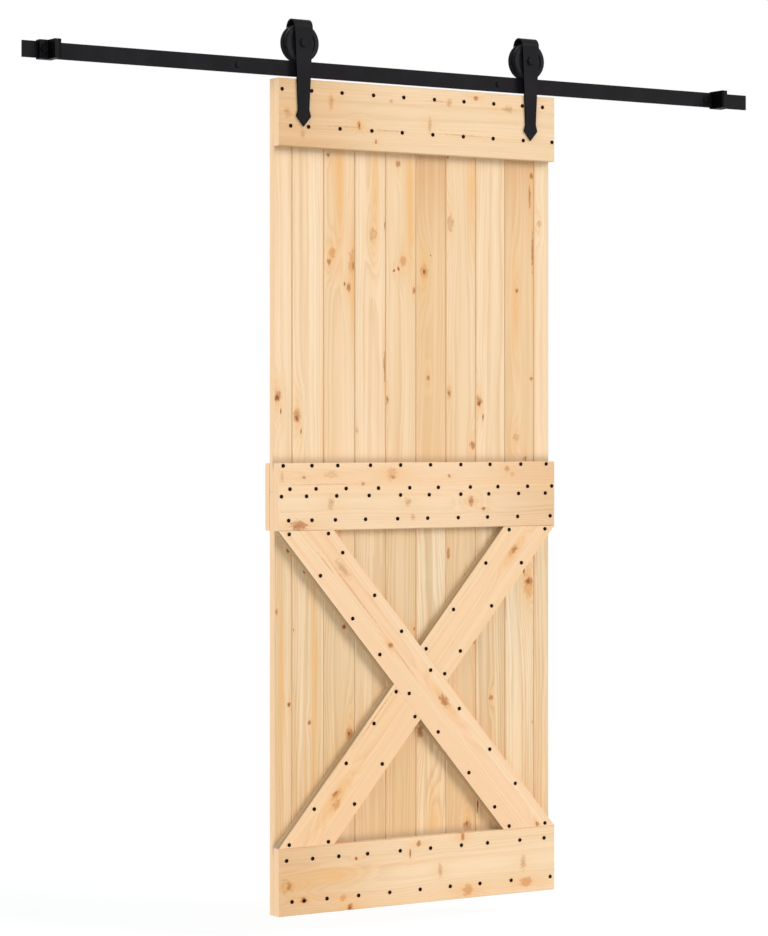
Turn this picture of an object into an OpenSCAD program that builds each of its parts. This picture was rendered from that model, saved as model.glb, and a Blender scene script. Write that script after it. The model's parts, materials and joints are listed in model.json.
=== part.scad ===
// Sliding barn door: a ledged and braced pine leaf that hangs from two
// strap hangers, whose grooved wheels roll on a flat wall track.
// Millimetres. +X runs along the track, +Z is up and the wall is the plane Y = 0,
// with the room on its -Y side. The origin lies on the wall plane, at the height
// of the track's middle and midway between the two end wall bolts.

/* [Door leaf] */
// Width of the leaf
door_w = 850; // [760:1:1000]
// Height of the leaf
door_h = 2100; // [1950:1:2300]
// Thickness of the vertical boards
board_t = 22; // [18:0.5:28]
// Width of the board at the left edge
first_board_w = 53.5; // [45:0.5:70]
// Width of the board at the right edge
last_board_w = 49.5; // [45:0.5:70]
// Thickness of the horizontal rails and of the braces
rail_t = 24; // [20:0.5:30]
// Height of each horizontal rail
rail_h = 170; // [150:1:190]
// Lower edge of the middle rail above the leaf's bottom
middle_rail_up = 965; // [850:1:1050]
// Joint between lower and upper boards, above the middle rail's lower edge
board_joint_up = 97; // [70:1:110]
// Thickness of the batten across the back
batten_t = 20; // [16:0.5:24]
// Height of the batten across the back
batten_h = 170; // [150:1:220]
// Level length of a brace's end cut
brace_cut = 163; // [130:1:190]
// Edge chamfer on rails, braces and batten
arris = 1.6; // [0.8:0.1:2.5]

/* [Board joints] */
// Length of a board's tongue
tongue_l = 6; // [4:0.5:8]
// Thickness of a board's tongue
tongue_t = 6; // [4:0.5:8]
// Clearance of a tongue in its groove
tongue_fit = 0.3; // [0.2:0.1:0.5]
// Gap between the shoulders of neighbouring boards
seam_gap = 0.3; // [0.2:0.1:0.6]
// Chamfer on the long edges of each board
seam_bevel = 2.6; // [1.5:0.1:4]
// Gap where one piece of timber butts against another
butt_gap = 0.2; // [0.1:0.1:0.4]

/* [Nails and screws] */
// Diameter of a nail head
nail_head_d = 10; // [6:0.5:11]
// Thickness of a nail head
nail_head_h = 1.8; // [1:0.1:2.5]
// Diameter of a nail shank
nail_d = 3.2; // [2.5:0.1:4]
// Length of a nail under its head
nail_l = 40; // [34:0.5:42]
// Radial clearance of nails and screws in their holes
nail_fit = 0.1; // [0.05:0.05:0.2]
// Clear width between a nail's head and a hanger strap
nail_strap_clear = 1; // [0.5:0.5:4]
// Top rail's upper nail row below the leaf's top
top_nail_drop = 28; // [20:1:36]
// Top rail's lower nail row above the rail's lower edge
top_nail_rise = 51; // [40:1:60]
// Middle rail's first nail row below the rail's upper edge
middle_nail_drop = 6.5; // [6:0.5:20]
// Middle rail's second nail row above the joint of the boards
joint_nail_rise = 8; // [7:0.5:20]
// Middle rail's third nail row below the joint of the boards
joint_nail_drop = 10.5; // [8:0.5:20]
// Middle rail's fourth nail row above the rail's lower edge
middle_nail_rise = 26; // [20:1:40]
// Bottom rail's upper nail row below the rail's upper edge
bottom_nail_drop = 31; // [20:1:40]
// Bottom rail's lower nail row above the leaf's foot
bottom_nail_rise = 35; // [25:1:50]
// Top rail's upper row: one place for each board, from the board's left edge
top_upper_row = [10, 43, 40, 41, 40, 41, 40, 41, 39, 11]; // [-6:0.5:80]
// Top rail's lower row, as above
top_lower_row = [35, 34, 34, 36, 35, 36, 38, 39, 42, 42]; // [-6:0.5:80]
// Middle rail's first row, as above
middle_first_row = [13, 44, 27, 32, 30, 29, 30, 29, 34, 23]; // [-6:0.5:80]
// Middle rail's second row, as above
middle_second_row = [33, 56, 52, 56, 58, 53, 60, 54, 56, 41]; // [-6:0.5:80]
// Middle rail's third row, as above
middle_third_row = [8, 28, 24, 28, 30, 25, 30, 25, 27, 20]; // [-6:0.5:80]
// Middle rail's fourth row, as above
middle_fourth_row = [29, 44, 20, 17, 21, 20, 22, 21, 24, 36]; // [-6:0.5:80]
// Bottom rail's upper row, as above
bottom_upper_row = [23, 46, 30, 23, 29, 29, 32, 21, 31, 16]; // [-6:0.5:80]
// Bottom rail's lower row, as above
bottom_lower_row = [39, 21, -5, -4, -3, -3, -3, -3, 3, 36]; // [-6:0.5:80]
// Nail pairs along the long brace, from the leaf's middle
long_places = [-412, -265, -140, -3, 134, 281, 406]; // [-480:1:480]
// Upper brace's left row, from the leaf's middle
upper_left_places = [207, 363]; // [100:1:480]
// Upper brace's right row, from the leaf's middle
upper_right_places = [139, 290, 436]; // [100:1:480]
// Lower brace's left row, from the leaf's middle
lower_left_places = [167, 295, 440]; // [100:1:480]
// Lower brace's right row, from the leaf's middle
lower_right_places = [230, 358]; // [100:1:480]
// Nail rows on a brace from its long edges
brace_nail_in = 18; // [14:1:26]
// Nails of a brace from its ends
brace_nail_end = 8; // [7:1:20]
// Nails of a short brace from the long brace's edge
brace_cross_in = 8; // [7:1:20]
// Clear length between a brace's end and the nails of its rows
brace_end_clear = 30; // [20:1:60]
// Head diameter of the batten's screws
screw_head_d = 8; // [7:0.5:10]
// Shank diameter of the batten's screws
screw_d = 4; // [3.5:0.5:5]
// Length of the batten's screws
screw_l = 36; // [30:1:38]
// Screw rows from the batten's long edges
screw_in = 32; // [24:1:50]

/* [Track] */
// Length of the track
track_l = 2217; // [2100:1:2600]
// Height of the track
track_h = 40; // [36:1:46]
// Thickness of the track
track_t = 6; // [5:0.5:7]
// Gap between the leaf's top and the track's lower edge
track_gap = 6.5; // [5:0.5:12]
// Clear space between the back batten and the wall
wall_gap = 9; // [6:0.5:20]
// Leaf's left edge from the track's left end
door_in = 700; // [560:1:760]
// First wall bolt from the track's left end
first_bolt_in = 90; // [86:1:100]
// Second wall bolt from the track's left end
second_bolt_in = 592; // [400:1:800]
// Third wall bolt from the track's left end
third_bolt_in = 1380; // [1100:1:1600]
// Last wall bolt from the track's right end
last_bolt_in = 143; // [133:1:200]
// Shank diameter of a wall bolt
wall_bolt_d = 8; // [6:0.5:10]
// Depth of a wall bolt's thread below its shank
wall_thread_cut = 0.4; // [0.2:0.1:1]
// Length of a wall bolt's threaded part beyond the wall plane
wall_bolt_reach = 50; // [40:1:80]
// Hex width of a wall bolt's head
wall_bolt_af = 13; // [12:0.5:16.5]
// Height of a wall bolt's head
wall_bolt_head_h = 3; // [2.5:0.5:6.5]
// Diameter of a wall bolt's washer
wall_washer_d = 15; // [14:0.5:21]
// Thickness of a wall bolt's washer
wall_washer_t = 1; // [0.8:0.1:2]
// Diameter of the tubular wall spacers
spacer_d = 20; // [16:0.5:22]
// Radial clearance of bolts and studs in their holes
bolt_fit = 0.25; // [0.1:0.05:0.5]

/* [End stops] */
// Door-side face of the left stop from the track's left end
left_stop_in = 79; // [70:1:79]
// Door-side face of the right stop from the track's right end
right_stop_in = 122; // [70:1:122]
// Length of a stop along the track, pad included
stop_l = 39; // [36:1:55]
// Reach of a stop's bumper plate in front of the track
stop_reach = 47.5; // [35:0.5:60]
// Thickness of the bumper plate
plate_t = 10.5; // [6:0.5:12]
// Thickness of the rubber pad on a stop's door-side face
pad_t = 6; // [4:0.5:8]
// Diameter of the stems that hold a pad
pad_stem_d = 6; // [4:0.5:8]
// Wall of a stop's sleeve round the track
sleeve_t = 3; // [2:0.5:4]
// Front wall of a stop's sleeve
sleeve_front_t = 11; // [8:0.5:13]
// Clearance between a stop's sleeve and the track
sleeve_fit = 0.3; // [0.1:0.1:0.5]
// Shank diameter of a stop's clamp bolt
clamp_bolt_d = 8; // [6:0.5:10]
// Hex width of a stop's clamp bolt
clamp_bolt_af = 15; // [12:0.5:17]
// Height of a stop's clamp bolt head
clamp_bolt_head_h = 6; // [4:0.5:8]

/* [Hangers] */
// Left hanger's centre from the leaf's left edge
left_hanger_in = 71.5; // [60:0.5:140]
// Right hanger's centre from the leaf's right edge
right_hanger_in = 79; // [60:0.5:140]
// Thickness of the strap steel
strap_t = 4.5; // [4:0.5:6]
// Width of the strap over the wheel
strap_top_w = 52; // [42:1:60]
// Width of the strap at its neck
strap_neck_w = 32; // [24:1:36]
// Width of the strap's arrowhead
strap_head_w = 42; // [38:1:48]
// Drop of the strap's neck below the leaf's top
strap_neck_drop = 77; // [60:1:85]
// Drop of the arrowhead's widest place below the leaf's top
strap_head_drop = 94; // [88:1:105]
// Drop of the arrowhead's tip below the leaf's top
strap_tip_drop = 119; // [110:1:130]
// Straight height of the strap between its fold and its taper
strap_land = 4; // [2:0.5:10]
// Clear height between the wheel's flange and the strap's fold
fold_clear = 2.5; // [2:0.5:8]
// Diameter of the weld studs behind the strap
stud_d = 8; // [6:0.5:10]
// Drop of the upper weld stud below the leaf's top
upper_stud_drop = 26; // [22:1:32]
// Drop of the lower weld stud below the leaf's top
lower_stud_drop = 66; // [55:1:72]
// Length of a stud beyond its nut
stud_spare = 3; // [1:0.5:5]
// Diameter of a stud's washer
stud_washer_d = 20; // [16:0.5:24]
// Thickness of a stud's washer
stud_washer_t = 2; // [1:0.1:3]
// Hex width of a stud's nut
stud_nut_af = 13; // [13:0.5:17]
// Height of a stud's nut
stud_nut_h = 6.5; // [5:0.5:8]

/* [Wheels] */
// Radius of the wheel's tread
tread_r = 45; // [38:0.5:48]
// Depth of the wheel's groove
groove_deep = 4; // [3:0.5:8]
// Thickness of the wheel
wheel_w = 32; // [26:0.5:34]
// Side clearance of the groove on the track
groove_fit = 1; // [0.6:0.1:1.4]
// Widening of the groove from its tread to its rim, each side
groove_flare = 2; // [1:0.1:2.5]
// Radial drop of the rounded shoulder outside the groove
shoulder_drop = 6; // [4:0.5:7]
// Width of the rounded shoulder outside the groove
shoulder_w = 4; // [3:0.5:7]
// Width of the raised rim on the wheel's faces
rim_w = 7; // [5:0.5:10]
// Depth of the dished web in the wheel's faces
web_dish = 2.5; // [1:0.5:4]
// Radius of the wheel's hub
hub_r = 21; // [19:0.5:24]
// Clearance between the wheel's tread and the track
tread_gap = 0.2; // [0.1:0.1:0.4]
// Gap between the wheel and each leg of the strap
wheel_side_gap = 1.5; // [1:0.1:3]

/* [Bearings and axles] */
// Outer diameter of the ball bearing
bearing_od = 32; // [30:0.5:35]
// Width of the ball bearing
bearing_w = 10; // [8:0.5:12]
// Diameter of a bearing ball
ball_d = 5.4; // [4.6:0.1:5.8]
// Thickness of the bearing's rings at their shoulders
ring_t = 3.4; // [3:0.1:3.8]
// Clearance of the balls in their races
ball_fit = 0.08; // [0.04:0.02:0.12]
// Radial clearance of the bearing in the wheel and on the axle
bearing_fit = 0.03; // [0.02:0.01:0.06]
// Lip that keeps the bearing in the wheel
bearing_lip = 2.5; // [1.5:0.5:3]
// Diameter of the axle
axle_d = 12; // [10:0.5:12]
// Hex width of the axle bolt's head and nut
axle_af = 19; // [17:0.5:22]
// Height of the axle bolt's head
axle_head_h = 5; // [4:0.5:10]
// Height of the axle nut
axle_nut_h = 10; // [7:0.5:12]
// Length of the axle beyond its nut
axle_spare = 3; // [1:0.5:5]
// Wall of the bushes on the axle
bush_t = 2.5; // [1.5:0.5:2.5]

/* [Hidden] */
$fn = 64;

pine = "burlywood";
rail_pine = "tan";
black_steel = "dimgray";
bare_steel = "silver";
black_rubber = "black";

// Places along the track
bolt_xs_from_left = [first_bolt_in, second_bolt_in, third_bolt_in, track_l - last_bolt_in];
origin_in = (first_bolt_in + track_l - last_bolt_in) / 2;
track_x0 = -origin_in;
door_x0 = track_x0 + door_in;
door_x1 = door_x0 + door_w;
bolt_xs = [for (b = bolt_xs_from_left) track_x0 + b];
left_hanger_x = door_x0 + left_hanger_in;
right_hanger_x = door_x1 - right_hanger_in;
hanger_xs = [left_hanger_x, right_hanger_x];
left_stop_x = track_x0 + left_stop_in;
right_stop_x = track_x0 + track_l - right_stop_in;

// Depths from the wall
batten_back = -wall_gap;
board_back = batten_back - batten_t;
board_front = board_back - board_t;
board_mid = (board_back + board_front) / 2;
rail_front = board_front - rail_t;
fold_r_in = wheel_w / 2 + wheel_side_gap;
fold_r_out = fold_r_in + strap_t;
wheel_y = rail_front + fold_r_in;
track_back = wheel_y + track_t / 2;
track_front = wheel_y - track_t / 2;
strap_front = rail_front - strap_t;
back_leg_front = wheel_y + fold_r_in;
back_leg_back = wheel_y + fold_r_out;

// Heights
door_z1 = -track_h / 2 - track_gap;
door_z0 = door_z1 - door_h;
top_rail_z = door_z1 - rail_h;
middle_rail_z = door_z0 + middle_rail_up;
middle_rail_z1 = middle_rail_z + rail_h;
bottom_rail_z1 = door_z0 + rail_h;
board_joint_z = middle_rail_z + board_joint_up;
batten_z = middle_rail_z + (rail_h - batten_h) / 2;
brace_z0 = bottom_rail_z1 + butt_gap;
brace_z1 = middle_rail_z - butt_gap;
axle_z = track_h / 2 + tread_r + tread_gap;

// Boards
board_n = 10;
board_pitch = (door_w - first_board_w - last_board_w) / (board_n - 2);
function board_x(i) = i == 0 ? door_x0 : i == board_n ? door_x1 : door_x0 + first_board_w + (i - 1) * board_pitch;

// Braces, along the diagonal from the top left to the bottom right
brace_run = door_w - brace_cut;
brace_fall = brace_z1 - brace_z0;
brace_angle = atan2(brace_fall, brace_run);
brace_w = brace_cut * sin(brace_angle);
brace_centre = [(door_x0 + door_x1) / 2, (brace_z0 + brace_z1) / 2];
brace_l = norm([brace_run, brace_fall]);

// Strap outline and hanger heights
flange_r = tread_r + groove_deep;
rim_r = flange_r - shoulder_drop;
shoulder_a = wheel_w / 2 - shoulder_w;
fold_rise = flange_r + fold_clear - sqrt(pow(fold_r_in, 2) - pow(shoulder_a, 2));
fold_z = axle_z + fold_rise;
taper_z = fold_z - strap_land;
neck_z = door_z1 - strap_neck_drop;
head_z = door_z1 - strap_head_drop;
tip_z = door_z1 - strap_tip_drop;
stud_zs = [door_z1 - upper_stud_drop, door_z1 - lower_stud_drop];
stud_l = rail_t + board_t + stud_washer_t + stud_nut_h + stud_spare;
function between(z, z0, w0, z1, w1) = w0 + (w1 - w0) * (z - z0) / (z1 - z0);
function strap_half_w(z) =
    z > neck_z ? between(z, neck_z, strap_neck_w / 2, taper_z, strap_top_w / 2)
    : z > head_z ? between(z, neck_z, strap_neck_w / 2, head_z, strap_head_w / 2)
    : between(z, head_z, strap_head_w / 2, tip_z, 0);

// Nail rows on the rails: height, and the row's places
nail_rows_top = [
    [door_z1 - top_nail_drop, top_upper_row],
    [top_rail_z + top_nail_rise, top_lower_row]
];
nail_rows_middle = [
    [middle_rail_z1 - middle_nail_drop, middle_first_row],
    [board_joint_z + joint_nail_rise, middle_second_row],
    [board_joint_z - joint_nail_drop, middle_third_row],
    [middle_rail_z + middle_nail_rise, middle_fourth_row]
];
nail_rows_bottom = [
    [bottom_rail_z1 - bottom_nail_drop, bottom_upper_row],
    [door_z0 + bottom_nail_rise, bottom_lower_row]
];

// A nail keeps off the hanger straps, from the top of its head to the foot of it
function clear_of_straps(p) =
    let (r = nail_head_d / 2, strap_w = max([for (dz = [-r, 0, r]) strap_half_w(p[1] + dz)]))
    p[1] < tip_z - nail_head_d
    || min([for (x = hanger_xs) abs(p[0] - x)]) > max(0, strap_w) + r + nail_strap_clear;
function row_points(row) =
    let (z = row[0], places = row[1])
    [for (i = [0 : board_n - 1]) [board_x(i) + places[i], z]];
function rail_nail_points(rows) = [
    for (row = rows)
        for (p = row_points(row))
            if (clear_of_straps(p)) p
];

// Nails of a brace: rows along u from the leaf's middle, at v across the brace
function brace_point(u, v, mirrored) =
    let (side = mirrored ? -1 : 1)
    [
        brace_centre[0] + side * (u * cos(brace_angle) + v * sin(brace_angle)),
        brace_centre[1] - u * sin(brace_angle) + v * cos(brace_angle)
    ];
brace_v = brace_w / 2 - brace_nail_in;
brace_u = brace_l / 2 - brace_nail_end / sin(brace_angle);
row_rise = brace_fall / 2 - brace_end_clear;
cross_angle = 180 - 2 * brace_angle;
function cross_u(v) = (brace_w / 2 + brace_cross_in + v * cos(cross_angle)) / sin(cross_angle);
function end_nail(way, v, mirrored) = brace_point(way * brace_u + v / tan(brace_angle), v, mirrored);
function brace_row(places, v, mirrored) = [
    for (u = places)
        if (abs(u) * sin(brace_angle) + abs(v) * cos(brace_angle) < row_rise)
            brace_point(u, v, mirrored)
];
brace_long_nails = concat(
    [for (v = [brace_v, -brace_v]) for (way = [-1, 1]) end_nail(way, v, false)],
    brace_row(long_places, brace_v, false),
    brace_row(long_places, -brace_v, false)
);
brace_upper_nails = concat(
    [for (v = [brace_v, -brace_v]) end_nail(-1, v, true)],
    [for (v = [brace_v, -brace_v]) brace_point(-cross_u(v), v, true)],
    brace_row(-upper_left_places, brace_v, true),
    brace_row(-upper_right_places, -brace_v, true)
);
brace_lower_nails = concat(
    [for (v = [brace_v, -brace_v]) end_nail(1, v, true)],
    [for (v = [brace_v, -brace_v]) brace_point(cross_u(-v), v, true)],
    brace_row(lower_left_places, brace_v, true),
    brace_row(lower_right_places, -brace_v, true)
);
all_brace_nails = concat(brace_long_nails, brace_upper_nails, brace_lower_nails);
all_nails = concat(
    rail_nail_points(nail_rows_top), rail_nail_points(nail_rows_middle),
    rail_nail_points(nail_rows_bottom), all_brace_nails
);
screw_points = [
    for (z = [batten_z + screw_in, batten_z + batten_h - screw_in])
        for (i = [0 : board_n - 1]) [(board_x(i) + board_x(i + 1)) / 2, z]
];
stud_points = [for (x = hanger_xs) for (z = stud_zs) [x, z]];

// Local Z becomes the way towards the room, from a point in the plane Y = y
module facing_room(p, y) {
    translate([p[0], y, p[1]])
        rotate([90, 0, 0])
            children();
}

// Outline in X and Z, from the plane Y = back towards the room
module plate(back, t) {
    translate([0, back, 0])
        rotate([90, 0, 0])
            linear_extrude(t)
                children();
}

module drill(points, r, y0, y1) {
    for (p = points)
        facing_room(p, y0)
            cylinder(r = r, h = y0 - y1);
}

module hex(af, h) {
    cylinder(d = af / cos(30), h = h, $fn = 6);
}

module washer(d_out, r_in, t) {
    difference() {
        cylinder(d = d_out, h = t);
        translate([0, 0, -1])
            cylinder(r = r_in, h = t + 2);
    }
}

// Section of a board in X and Y, front side towards -Y
module board_section(i) {
    first = i == 0;
    last = i == board_n - 1;
    x0 = board_x(i) + (first ? 0 : seam_gap / 2);
    x1 = board_x(i + 1) - (last ? 0 : seam_gap / 2);
    groove_half = tongue_t / 2 + tongue_fit;
    groove_x = x0 + tongue_l + tongue_fit;
    tongue = last ? [] : [
        [x1, board_mid - tongue_t / 2], [x1 + tongue_l, board_mid - tongue_t / 2],
        [x1 + tongue_l, board_mid + tongue_t / 2], [x1, board_mid + tongue_t / 2]
    ];
    groove = first ? [] : [
        [x0, board_mid + groove_half], [groove_x, board_mid + groove_half],
        [groove_x, board_mid - groove_half], [x0, board_mid - groove_half]
    ];
    polygon(concat(
        [[x0 + seam_bevel, board_front], [x1 - seam_bevel, board_front], [x1, board_front + seam_bevel]],
        tongue,
        [[x1, board_back - seam_bevel], [x1 - seam_bevel, board_back]],
        [[x0 + seam_bevel, board_back], [x0, board_back - seam_bevel]],
        groove,
        [[x0, board_front + seam_bevel]]
    ));
}

function near_board(points, i, z0, z1) = [
    for (p = points)
        if (p[0] > board_x(i) - nail_d && p[0] < board_x(i + 1) + tongue_l + nail_d && p[1] > z0 && p[1] < z1) p
];

module board(i, z0, z1) {
    stud_reach = stud_d + bolt_fit;
    color(pine)
        difference() {
            translate([0, 0, z0])
                linear_extrude(z1 - z0)
                    board_section(i);
            drill(near_board(all_nails, i, z0, z1), nail_d / 2 + nail_fit, rail_front + nail_l + 1, rail_front);
            drill(near_board(screw_points, i, z0, z1), screw_d / 2 + nail_fit, 0, batten_back - screw_l - 1);
            for (p = stud_points)
                if (p[0] > board_x(i) - stud_reach && p[0] < board_x(i + 1) + tongue_l + stud_reach && p[1] > z0)
                    drill([p], stud_d / 2 + bolt_fit, 0, rail_front);
        }
}

module upper_board(i) {
    board(i, board_joint_z + butt_gap / 2, door_z1);
}

module lower_board(i) {
    board(i, door_z0, board_joint_z - butt_gap / 2);
}

// Level timber across the leaf, with chamfered long edges
module rail(back, t, z0, h) {
    front = back - t;
    translate([door_x0, 0, 0])
        rotate([90, 0, 90])
            linear_extrude(door_w)
                polygon([
                    [back, z0], [back, z0 + h], [front + arris, z0 + h], [front, z0 + h - arris],
                    [front, z0 + arris], [front + arris, z0]
                ]);
}

module nailed_rail(z0, rows) {
    color(rail_pine)
        difference() {
            rail(board_front, rail_t, z0, rail_h);
            drill(rail_nail_points(rows), nail_d / 2 + nail_fit, 0, rail_front - 1);
            drill([for (p = stud_points) if (p[1] > z0 && p[1] < z0 + rail_h) p], stud_d / 2 + bolt_fit, 0, rail_front - 1);
        }
}

module top_rail() {
    nailed_rail(top_rail_z, nail_rows_top);
}

module middle_rail() {
    nailed_rail(middle_rail_z, nail_rows_middle);
}

module bottom_rail() {
    nailed_rail(door_z0, nail_rows_bottom);
}

module back_batten() {
    color(rail_pine)
        difference() {
            translate([0, batten_back + board_back, 0])
                mirror([0, 1, 0])
                    rail(batten_back, batten_t, batten_z, batten_h);
            drill(screw_points, screw_d / 2 + nail_fit, 0, board_back - 1);
            for (p = screw_points)
                facing_room(p, batten_back)
                    screw_head(nail_fit);
        }
}

module brace_outline(mirrored) {
    x_cut = brace_cut / 2;
    x_run = brace_run / 2;
    side = mirrored ? -1 : 1;
    translate(brace_centre)
        polygon([
            for (q = [[-1, -1], [-1, 1], [1, 1], [1, -1]])
                [side * (q[0] * x_run + q[1] * x_cut), -q[0] * brace_fall / 2]
        ]);
}

module brace_timber(nails) {
    color(rail_pine)
        difference() {
            plate(board_front, rail_t)
                children();
            drill(nails, nail_d / 2 + nail_fit, 0, rail_front - 1);
        }
}

module brace_long() {
    brace_timber(brace_long_nails)
        brace_outline(false);
}

// Half of the second diagonal, cut back from the long brace
module brace_half(above) {
    difference() {
        brace_outline(true);
        translate(brace_centre)
            rotate(-brace_angle)
                translate([-door_w, above ? -door_w : -brace_w / 2 - butt_gap])
                    square([2 * door_w, door_w + brace_w / 2 + butt_gap]);
    }
}

module brace_upper() {
    brace_timber(brace_upper_nails)
        brace_half(true);
}

module brace_lower() {
    brace_timber(brace_lower_nails)
        brace_half(false);
}

module nail() {
    head_r = nail_head_d / 2;
    rotate_extrude()
        polygon([
            [0, -nail_l], [nail_d / 2, nail_d - nail_l], [nail_d / 2, 0], [head_r, 0],
            [head_r, nail_head_h / 2], [head_r * 0.6, nail_head_h], [0, nail_head_h]
        ]);
}

module nails(points) {
    color(black_steel)
        for (p = points)
            facing_room(p, rail_front)
                nail();
}

module top_rail_nails() {
    nails(rail_nail_points(nail_rows_top));
}

module middle_rail_nails() {
    nails(rail_nail_points(nail_rows_middle));
}

module bottom_rail_nails() {
    nails(rail_nail_points(nail_rows_bottom));
}

module brace_nails() {
    nails(all_brace_nails);
}

// Countersunk head, flush with the plane it sits in
module screw_head(fit) {
    head_h = (screw_head_d - screw_d) / 2;
    translate([0, 0, -fit])
        cylinder(d1 = screw_head_d + 4 * fit, d2 = screw_d + 2 * fit, h = head_h + fit);
}

module batten_screws() {
    color(bare_steel)
        for (p = screw_points)
            facing_room(p, batten_back) {
                screw_head(0);
                cylinder(d = screw_d, h = screw_l);
            }
}

module track_bar() {
    color(black_steel)
        difference() {
            translate([track_x0, track_front, -track_h / 2])
                cube([track_l, track_t, track_h]);
            drill([for (x = bolt_xs) [x, 0]], wall_bolt_d / 2 + bolt_fit, 0, track_front - 1);
        }
}

module wall_spacers() {
    color(black_steel)
        for (x = bolt_xs)
            facing_room([x, 0], 0)
                washer(spacer_d, wall_bolt_d / 2 + bolt_fit, -track_back);
}

module wall_washers() {
    color(black_steel)
        for (x = bolt_xs)
            facing_room([x, 0], track_front)
                washer(wall_washer_d, wall_bolt_d / 2 + bolt_fit, wall_washer_t);
}

module wall_bolts() {
    thread_d = wall_bolt_d - 2 * wall_thread_cut;
    shank_l = wall_washer_t - track_front;
    color(black_steel)
        for (x = bolt_xs) {
            facing_room([x, 0], wall_bolt_reach)
                cylinder(d = thread_d, h = wall_bolt_reach + shank_l);
            facing_room([x, 0], 0)
                cylinder(d = wall_bolt_d, h = shank_l);
            facing_room([x, 0], track_front - wall_washer_t)
                hex(wall_bolt_af, wall_bolt_head_h);
        }
}

// End stop, built with the pad's door-side face at X = 0 and the stop on its -X side
sleeve_half_h = track_h / 2 + sleeve_fit + sleeve_t;
sleeve_back = track_back + sleeve_fit + sleeve_t;
sleeve_front = track_front - sleeve_fit - sleeve_front_t;
plate_front = track_front - stop_reach;
clamp_bolt_x = -(stop_l + pad_t + plate_t) / 2;
pad_stem_ys = [
    for (s = [0.3, 0.75]) sleeve_front + (plate_front - sleeve_front) * s
];
stem_l = plate_t / 2;

module track_slot() {
    slot_half_h = track_h / 2 + sleeve_fit;
    translate([-stop_l - 1, track_front - sleeve_fit, -slot_half_h])
        cube([stop_l + 2, track_t + 2 * sleeve_fit, 2 * slot_half_h]);
}

module stop_clamp() {
    color(black_steel)
        difference() {
            union() {
                translate([-stop_l, sleeve_front, -sleeve_half_h])
                    cube([stop_l - pad_t, sleeve_back - sleeve_front, 2 * sleeve_half_h]);
                translate([-pad_t - plate_t, plate_front, -sleeve_half_h])
                    cube([plate_t, sleeve_back - plate_front, 2 * sleeve_half_h]);
            }
            track_slot();
            drill([[clamp_bolt_x, 0]], clamp_bolt_d / 2 + bolt_fit, track_front, sleeve_front - 1);
            pad_stems(nail_fit);
        }
}

module pad_stems(fit) {
    for (y = pad_stem_ys)
        translate([-pad_t, y, 0])
            rotate([0, -90, 0])
                cylinder(r = pad_stem_d / 2 + fit, h = stem_l + fit);
}

module stop_pad() {
    color(black_rubber) {
        difference() {
            translate([-pad_t, plate_front, -sleeve_half_h])
                cube([pad_t, sleeve_back - plate_front, 2 * sleeve_half_h]);
            track_slot();
        }
        pad_stems(0);
    }
}

module at_stop(left) {
    translate([left ? left_stop_x : right_stop_x, 0, 0])
        mirror([left ? 0 : 1, 0, 0])
            children();
}

module stop_bolts() {
    color(black_steel)
        for (left = [true, false])
            at_stop(left) {
                facing_room([clamp_bolt_x, 0], track_front)
                    cylinder(d = clamp_bolt_d, h = track_front - sleeve_front);
                facing_room([clamp_bolt_x, 0], sleeve_front)
                    hex(clamp_bolt_af, clamp_bolt_head_h);
            }
}

// Strap bent over the wheel: long front leg with an arrowhead, fold, and short back leg on the axle
module strap_front_outline() {
    polygon([
        [-strap_top_w / 2, fold_z], [-strap_top_w / 2, taper_z], [-strap_neck_w / 2, neck_z],
        [-strap_head_w / 2, head_z], [0, tip_z], [strap_head_w / 2, head_z],
        [strap_neck_w / 2, neck_z], [strap_top_w / 2, taper_z], [strap_top_w / 2, fold_z]
    ]);
}

module strap_back_outline() {
    translate([0, axle_z])
        circle(d = strap_top_w);
    translate([-strap_top_w / 2, axle_z])
        square([strap_top_w, fold_z - axle_z]);
}

module strap_fold() {
    translate([-strap_top_w / 2, wheel_y, fold_z])
        rotate([90, 0, 90])
            linear_extrude(strap_top_w)
                difference() {
                    union() {
                        circle(r = fold_r_out);
                        translate([-fold_r_out, -strap_land])
                            square([2 * fold_r_out, strap_land]);
                    }
                    circle(r = fold_r_in);
                    translate([-fold_r_in, -2 * fold_r_out])
                        square([2 * fold_r_in, 2 * fold_r_out]);
                    translate([-2 * fold_r_out, -strap_land - 4 * fold_r_out])
                        square(4 * fold_r_out);
                }
}

module strap(x) {
    color(black_steel)
        translate([x, 0, 0])
            difference() {
                union() {
                    plate(rail_front, strap_t)
                        strap_front_outline();
                    strap_fold();
                    plate(back_leg_back, strap_t)
                        strap_back_outline();
                    for (z = stud_zs)
                        facing_room([0, z], rail_front + stud_l)
                            cylinder(d = stud_d, h = stud_l + strap_t / 2);
                }
                drill([[0, axle_z]], axle_d / 2 + bolt_fit, 0, strap_front - 1);
            }
}

module strap_washers() {
    color(bare_steel)
        for (p = stud_points)
            facing_room(p, board_back + stud_washer_t)
                washer(stud_washer_d, stud_d / 2 + bolt_fit, stud_washer_t);
}

module strap_nuts() {
    color(bare_steel)
        for (p = stud_points)
            facing_room(p, board_back + stud_washer_t + stud_nut_h)
                difference() {
                    hex(stud_nut_af, stud_nut_h);
                    translate([0, 0, -1])
                        cylinder(d = stud_d + 2 * bearing_fit, h = stud_nut_h + 2);
                }
}

// Puts a turned piece on a hanger's axle, its local Z along the axle towards the room
module on_axle(x) {
    facing_room([x, axle_z], wheel_y)
        children();
}

bearing_seat_r = bearing_od / 2 + bearing_fit;
groove_a = track_t / 2 + groove_fit;
shoulder_arc = [
    for (t = [0 : 22.5 : 90]) [rim_r + shoulder_drop * sin(t), shoulder_a + shoulder_w * cos(t)]
];

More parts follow.
